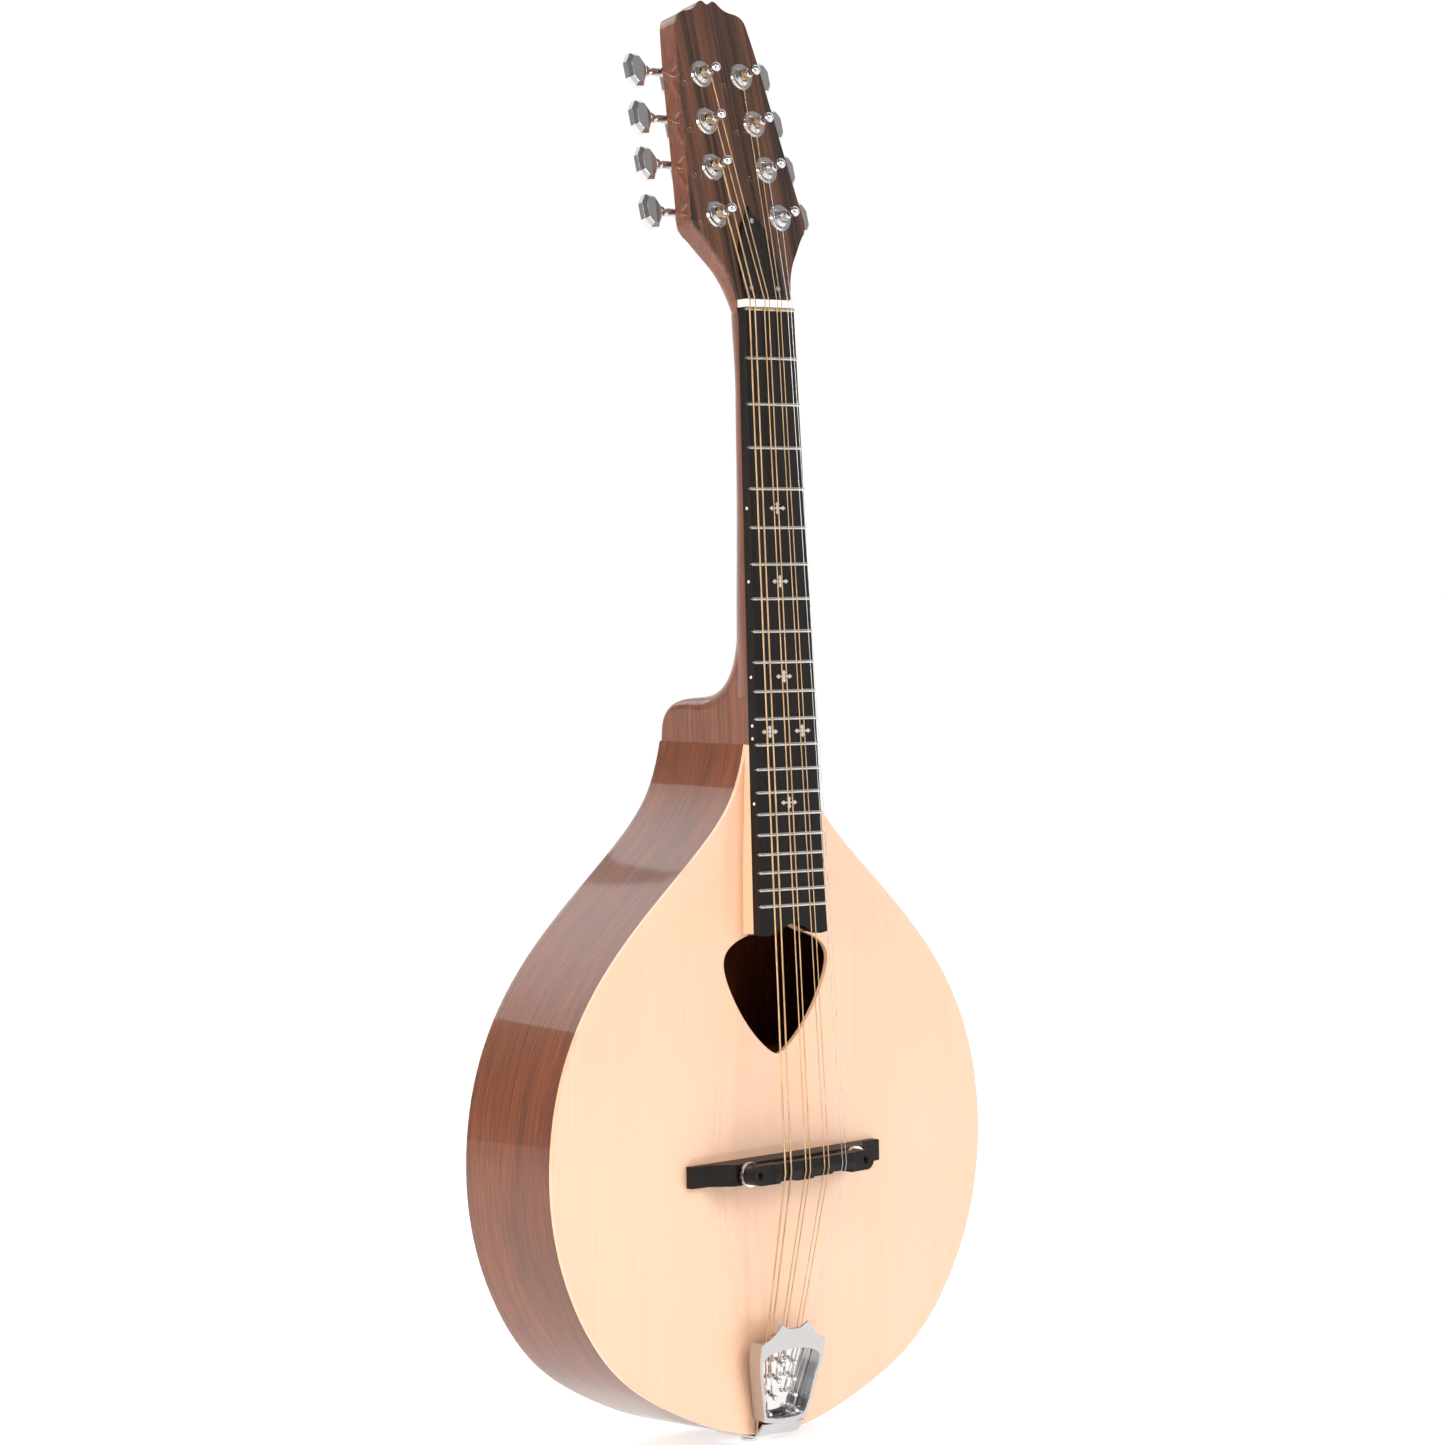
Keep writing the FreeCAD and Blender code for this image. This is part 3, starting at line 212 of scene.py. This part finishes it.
looks = {
    "spruce": wood("spruce_top", *SPRUCE_COLOURS, (620, 90, 5), (26, 8, 1.3), 0.3, 0.00001, 0.0008,
                   vein_strength=0.4, **gloss(Roughness=0.38)),
    "wedge": wood("spruce_wedge", *SPRUCE_COLOURS, (500, 500, 10), (40, 40, 4), 0.4, 0.00001, 0.0003,
                  vein_strength=0.4, **gloss(Roughness=0.4)),
    "rim": wood("mahogany_rim", *MAHOGANY, (16, 620, 16), (5, 45, 5), 0.8, 0.00002, 0.0006, pores=0.6,
                **gloss(Roughness=0.42, Coat_Weight=0.7)),
    "neck": wood("mahogany_neck", *MAHOGANY, (560, 560, 14), (38, 38, 4), 0.8, 0.00002, 0.0006, pores=0.6,
                 lean=4.0, **gloss(Roughness=0.42)),
    "back": wood("mahogany_back", *MAHOGANY, (560, 560, 14), (30, 30, 3), 0.8, 0.00002, 0.0006, pores=0.6,
                 **gloss(Roughness=0.42)),
    "rosewood": wood("rosewood_face", (0.022, 0.011, 0.008), (0.130, 0.050, 0.025), (0.012, 0.006, 0.004),
                     (420, 420, 9), (170, 60, 2.0), 0.3, 0.00002, 0.0007, pores=0.25, vein_strength=0.55,
                     lean=15.8, drift_ends=(0.42, 0.58),
                     **gloss(Roughness=0.36, Specular_IOR_Level=0.25, Coat_Weight=0.6)),
    "ebony": wood("ebony", *EBONY, (700, 700, 16), (60, 60, 5), 0.5, 0.00003, 0.0005, pores=0.5,
                  lean=3.5, Roughness=0.42, Specular_IOR_Level=0.2),
    "ebony_bar": wood("ebony_bar", *EBONY, (16, 700, 700), (5, 60, 60), 0.5, 0.00003, 0.0006, pores=0.5,
                      Roughness=0.42, Specular_IOR_Level=0.2),
    "inner": wood("bare_inner_wood", (0.36, 0.22, 0.12), (0.46, 0.30, 0.17), (0.24, 0.14, 0.07),
                  (380, 380, 10), (30, 30, 4), 0.5, 0.00003, 0.0003, pores=0.3, Roughness=0.75),
    "chrome": metal("chrome", (0.72, 0.72, 0.73), 0.07),
    "cast_chrome": metal("cast_chrome", (0.53, 0.53, 0.54), 0.14, edge=0.0006, grain=(300, 300, 300)),
    "nickel": metal("nickel_silver", (0.66, 0.65, 0.62), 0.18, grain=(60, 900, 900)),
    "brass": metal("pale_brass", (0.70, 0.60, 0.40), 0.20, grain=(60, 900, 900)),
    "steel": metal("steel", (0.58, 0.58, 0.59), 0.26),
    "plain_wire": metal("plain_wire", (0.62, 0.62, 0.63), 0.28, edge=0.0, grain=(900, 900, 60)),
    "bronze": wound("bronze_winding", (0.78, 0.55, 0.33), (0.26, 0.15, 0.075), 0.00028, 0.34),
}


def pearl():
    s = Shader("pearl", **gloss(Roughness=0.22))
    drift = s.noise(s.stretched(420, 420, 260), 2.0, 0.5, warp=1.5)
    colour = s.ramp(drift, [(0.25, (0.46, 0.50, 0.49)), (0.5, (0.64, 0.60, 0.55)),
                            (0.75, (0.52, 0.46, 0.47))])
    s.to(colour, "Base Color")
    s.bump(drift, 0.1, 0.00001, 0.0002)
    return s.material


def moulded(name, colour, rough, speck, edge, **sockets):
    """Bone or plastic: an almost even colour with a faint mottle and rounded edges."""
    s = Shader(name, **sockets)
    mottle = s.noise(s.stretched(500, 500, 160), 4.0)
    flecked = tuple(c * speck for c in colour)
    s.to(s.mix(s.ramp(mottle, [(0.3, 0.0), (0.75, 1.0)]), colour, flecked), "Base Color")
    s.to(s.ramp(mottle, [(0.2, rough * 0.8), (0.9, rough * 1.25)]), "Roughness")
    s.bump(mottle, 0.15, 0.00002, edge)
    return s.material


looks["pearl"] = pearl()
looks["dot"] = moulded("white_dot", (0.85, 0.84, 0.80), 0.3, 0.92, 0.0001)
looks["bone"] = moulded("bone", (0.88, 0.87, 0.84), 0.35, 0.93, 0.0005)
looks["black"] = moulded("black_plastic", (0.004, 0.004, 0.0045), 0.12, 0.8, 0.0009,
                         **gloss(Specular_IOR_Level=0.2))

finish_of = {
    "soundboard": "spruce", "back_plate": "back", "rim_left": "rim", "rim_right": "rim",
    "neck_block": "inner", "tail_block": "inner", "linings_top": "inner", "linings_back": "inner",
    "top_braces": "inner", "back_braces": "inner", "neck": "neck", "headstock_veneer": "rosewood",
    "fingerboard": "ebony", "fingerboard_wedge": "wedge", "position_inlays": "pearl", "side_dots": "dot",
    "frets": "nickel", "zero_fret": "brass", "nut": "bone", "truss_rod": "steel", "truss_rod_nut": "steel",
    "truss_rod_cover": "black", "truss_cover_screws": "chrome", "bridge_base": "ebony_bar",
    "bridge_saddle": "ebony_bar", "bridge_studs": "steel", "tailpiece_cover": "cast_chrome",
    "tailpiece_hook_plate": "chrome", "tailpiece_strap": "chrome", "strap_button": "chrome",
    "strap_screws": "chrome", "strings_g": "bronze", "strings_d": "bronze", "strings_a": "bronze",
    "strings_e": "plain_wire",
}
for name, node in nodes.items():
    look = looks[finish_of.get(name, "chrome")]
    for holder in node.material_slots:
        holder.material = look


# --- strings: each one runs from a twisted eye of core wire on its hook to its turns round the post ---
# millimetres: gauge, x at the zero fret, at the saddle and at the comb, hook row, post row
STRINGS = {
    "g": [(1.15, -19.0, -27.8, -20.3, 3, 3), (1.15, -14.4, -22.7, -16.4, 2, 2)],
    "d": [(0.85, -6.0, -9.7, -8.4, 1, 1), (0.85, -2.2, -5.9, -5.0, 0, 0)],
    "a": [(0.65, 4.9, 6.6, 4.4, 0, 0), (0.65, 8.2, 10.5, 8.0, 1, 1)],
    "e": [(0.40, 14.5, 22.6, 15.6, 2, 2), (0.40, 17.5, 25.9, 19.2, 3, 3)],
}
POSTS = [(17.2, 153.2), (20.6, 122.2), (23.3, 92.1), (27.3, 61.0)]
HOOKS = [(5.2, 22.0), (6.6, 32.5), (9.0, 43.0), (11.8, 53.5)]
HOOK_OUT = Vector((0, -math.cos(math.radians(18.0)), -math.sin(math.radians(18.0))))
HOOK_ABOVE = Vector((0, HOOK_OUT.z, -HOOK_OUT.y))
HOOK_R, HOOK_FOOT, LOOP_OUT = 1.25, 10.2, 4.4     # the eyes sit this far out along the hooks
COMB_FLOOR, COMB_DOWN = 4.3, 15.1                 # where the strings pass through the comb
SADDLE_TOP, FRET_TOP, NUT_UP = 36.6, 1.1, 7.2
TURNS_MIDDLE, TURNS_HIGH, MOST_TURNS = 5.4, 3.2, 5
POST_CLEAR = 3.1
CORE_R = 0.24
SLACK = 0.02                                      # keeps a wire just off what it lies on


def softened(corners, bends):
    """The corners joined by short arcs, as points."""
    points = [corners[0]]
    for before, corner, after, bend in zip(corners, corners[1:], corners[2:], bends):
        a, b = (before - corner).normalized(), (after - corner).normalized()
        reach = bend * math.tan(math.pi / 2 - a.angle(b) / 2)
        start, end = corner + a * reach, corner + b * reach
        for step in range(9):
            t = step / 8
            points.append(start * (1 - t) ** 2 + corner * (2 * t * (1 - t)) + end * t * t)
    return points + [corners[-1]]


def eye(side, row, onward):
    """Core wire: a twist, then once round the hook and on towards the comb, up to the winding."""
    along, down = HOOKS[row]
    centre = Vector((side * along, HOOK_FOOT, -down)) + HOOK_OUT * LOOP_OUT
    ring = HOOK_R + CORE_R + 0.1
    top = centre + HOOK_ABOVE * (ring + CORE_R)
    aim = (onward - top).normalized()
    across = aim.cross(Vector((0, 1, 0))).normalized()
    other = aim.cross(across)
    coil, pitch, turns, facets, ring_facets = 2.02 * CORE_R, 2.6 * CORE_R, 7, 14, 30
    points = []
    for step in range(turns * facets, 0, -1):
        angle = 2 * math.pi * step / facets
        points.append(top + aim * (0.8 * CORE_R + pitch * step / facets)
                      + (across * math.cos(angle) + other * math.sin(angle)) * coil)
    for step in range(1, ring_facets):
        angle = 2 * math.pi * step / ring_facets
        points.append(centre + HOOK_ABOVE * ring * math.cos(angle) + Vector((ring * math.sin(angle), 0, 0)))
    return [TAIL @ (p * MM) for p in points + [top, top.lerp(onward, 0.5)]]


def turns_round_post(side, post, radius):
    """The turns rise from the one that the string arrives on; the end is snipped off beside the post."""
    pitch, facets = 2 * radius + SLACK, 28
    count = min(MOST_TURNS, int(TURNS_HIGH / pitch))
    across, up = POSTS[post]
    lowest = -TURNS_MIDDLE + (count - 1) / 2 * pitch
    reach = POST_CLEAR + radius
    points = []
    for step in range(count * facets + 1):
        angle = 2 * math.pi * step / facets
        points.append(Vector((side * (across - reach * math.cos(angle)), lowest - pitch * step / facets,
                              up + reach * math.sin(angle))))
    return [HEAD @ (p * MM) for p in points]


def string_points(side, gauge, x_nut, x_saddle, x_comb, row, post):
    """The eye, and the string from the start of its winding to its snipped end."""
    radius = gauge / 2
    comb = Vector((x_comb, COMB_FLOOR - radius - 0.06, -COMB_DOWN))
    core = eye(side, row, comb)
    end = turns_round_post(side, post, radius)
    over = -FRET_TOP - radius - SLACK
    corners = [core[-2].lerp(TAIL @ (comb * MM), 0.42), TAIL @ (comb * MM),
               BRIDGE @ (Vector((x_saddle, -SADDLE_TOP - radius - 0.12, 0)) * MM),
               NECK @ (Vector((x_nut, over, 0)) * MM), NECK @ (Vector((x_nut, over, NUT_UP)) * MM), end[0]]
    return core, softened(corners, [1.5 * MM, 4.0 * MM, 30.0 * MM, 8.0 * MM])[:-1] + end


def wire(name, radius, runs, look):
    data = bpy.data.curves.new(name, "CURVE")
    data.dimensions = "3D"
    data.bevel_depth = radius * MM
    data.bevel_resolution = 3
    data.use_fill_caps = True
    for points in runs:
        spline = data.splines.new("POLY")
        spline.points.add(len(points) - 1)
        for knot, place in zip(spline.points, points):
            knot.co = (*place, 1)
    data.materials.append(looks[look])
    shown = bpy.data.objects.new(name, data)
    bpy.context.scene.collection.objects.link(shown)
    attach(shown, "instrument")
    return shown


eyes = []
for course, pair in STRINGS.items():
    runs = []
    for numbers in pair:
        core, string = string_points(-1 if course in "gd" else 1, *numbers)
        eyes.append(core)
        runs.append(string)
    look, slot = ("plain_wire", "steel") if course == "e" else ("bronze", "bronze")
    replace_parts(wire("course_" + course, pair[0][0] / 2, runs, look), "strings_" + course)
wire("string_eyes", CORE_R, eyes, "plain_wire")


# --- camera -----------------------------------------------------------------------------------------
camera_data = bpy.data.cameras.new("camera")
camera_data.lens = 140.76
camera_data.sensor_width = 36.0
camera_data.clip_end = 60.0
camera = bpy.data.objects.new("camera", camera_data)
bpy.context.scene.collection.objects.link(camera)
AZIMUTH, DOWN, ROLL = 43.95, 2.146, 0.179
camera.matrix_world = (Matrix.Translation((-2.4604, -2.5257, 0.5826))
                       @ Matrix.Rotation(math.radians(-AZIMUTH), 4, "Z")
                       @ Matrix.Rotation(math.radians(90.0 - DOWN), 4, "X")
                       @ Matrix.Rotation(math.radians(ROLL), 4, "Z"))
bpy.context.scene.camera = camera
bpy.context.scene.view_settings.view_transform = "Standard"


# --- studio -----------------------------------------------------------------------------------------
def softbox(name, place, target, width, height, power, colour=(1, 1, 1)):
    data = bpy.data.lights.new(name, "AREA")
    data.shape = "RECTANGLE"
    data.size, data.size_y = width, height
    data.energy = power
    data.color = colour
    lamp = bpy.data.objects.new(name, data)
    lamp.location = place
    lamp.rotation_euler = (Vector(target) - Vector(place)).to_track_quat("-Z", "Y").to_euler()
    bpy.context.scene.collection.objects.link(lamp)


softbox("key", (0.55, -2.7, 1.5), (0, 0, 0.40), 1.5, 1.5, 50)
softbox("left", (-2.6, -0.35, 0.9), (-0.1, 0.02, 0.30), 0.9, 1.3, 54, (1, 0.86, 0.72))
softbox("rear", (-0.75, 2.2, 2.2), (0, 0, 0.35), 1.5, 0.9, 8)
softbox("head", (-1.3, -1.7, 2.3), (0, 0, 0.75), 0.8, 0.8, 12)

AWAY = (0.69, 0.72, 0.0)      # the level direction in which the camera looks

# The room is dark behind the camera and white behind the instrument.
world = bpy.data.worlds.new("studio")
world.use_nodes = True
tree = world.node_tree
coordinates = tree.nodes.new("ShaderNodeTexCoord")
facing = tree.nodes.new("ShaderNodeVectorMath")
facing.operation = "DOT_PRODUCT"
facing.inputs[1].default_value = AWAY
fall = tree.nodes.new("ShaderNodeMapRange")
fall.inputs["From Min"].default_value = -0.1
fall.inputs["From Max"].default_value = 0.75
room = tree.nodes.new("ShaderNodeMix")
room.data_type = "RGBA"
FACTOR, DARK, BRIGHT, RESULT = 0, 6, 7, 2      # the mix node's colour sockets
room.inputs[DARK].default_value = (0.20, 0.184, 0.176, 1)
room.inputs[BRIGHT].default_value = (1.03, 1.03, 1.03, 1)
tree.links.new(coordinates.outputs["Generated"], facing.inputs[0])
tree.links.new(facing.outputs["Value"], fall.inputs["Value"])
tree.links.new(fall.outputs["Result"], room.inputs[FACTOR])
tree.links.new(room.outputs[RESULT], tree.nodes["Background"].inputs["Color"])
bpy.context.scene.world = world

mesh = bpy.data.meshes.new("floor")
REACH = 40.0
corners = [(-REACH, -REACH, 0), (REACH, -REACH, 0), (REACH, REACH, 0), (-REACH, REACH, 0)]
mesh.from_pydata(corners, [], [(0, 1, 2, 3)])
floor = bpy.data.objects.new("floor", mesh)
floor.location.z = -0.0005
bpy.context.scene.collection.objects.link(floor)
# White paper that glows with painted light under and behind the instrument; painted shade makes its colour
# and glow greyer far off towards the camera.
paper = Shader("floor_paper", Roughness=0.9)
side = paper.add("ShaderNodeVectorMath")
side.operation = "DOT_PRODUCT"
side.inputs[1].default_value = AWAY
paper.link(paper.place, side.inputs[0])
painted_glow = paper.add("ShaderNodeMapRange")
painted_glow.inputs["From Min"].default_value = -1.2
painted_glow.inputs["From Max"].default_value = -0.2
painted_glow.inputs["To Min"].default_value = 0.5
paper.link(side.outputs["Value"], painted_glow.inputs["Value"])
paper.to(paper.mix(painted_glow.outputs["Result"], (0.30, 0.30, 0.30), (0.70, 0.70, 0.70)), "Base Color")
paper.surface.inputs["Emission Color"].default_value = (1, 1, 1, 1)
# Painted light: the floor glows most under and behind the instrument, and this glow is dimmed towards the
# camera as painted shade.
paper.to(paper.math("MULTIPLY", painted_glow.outputs["Result"], 0.66), "Emission Strength")
paper.bump(paper.noise(paper.stretched(300, 300, 300), 2.0), 0.05, 0.0001)
mesh.materials.append(paper.material)
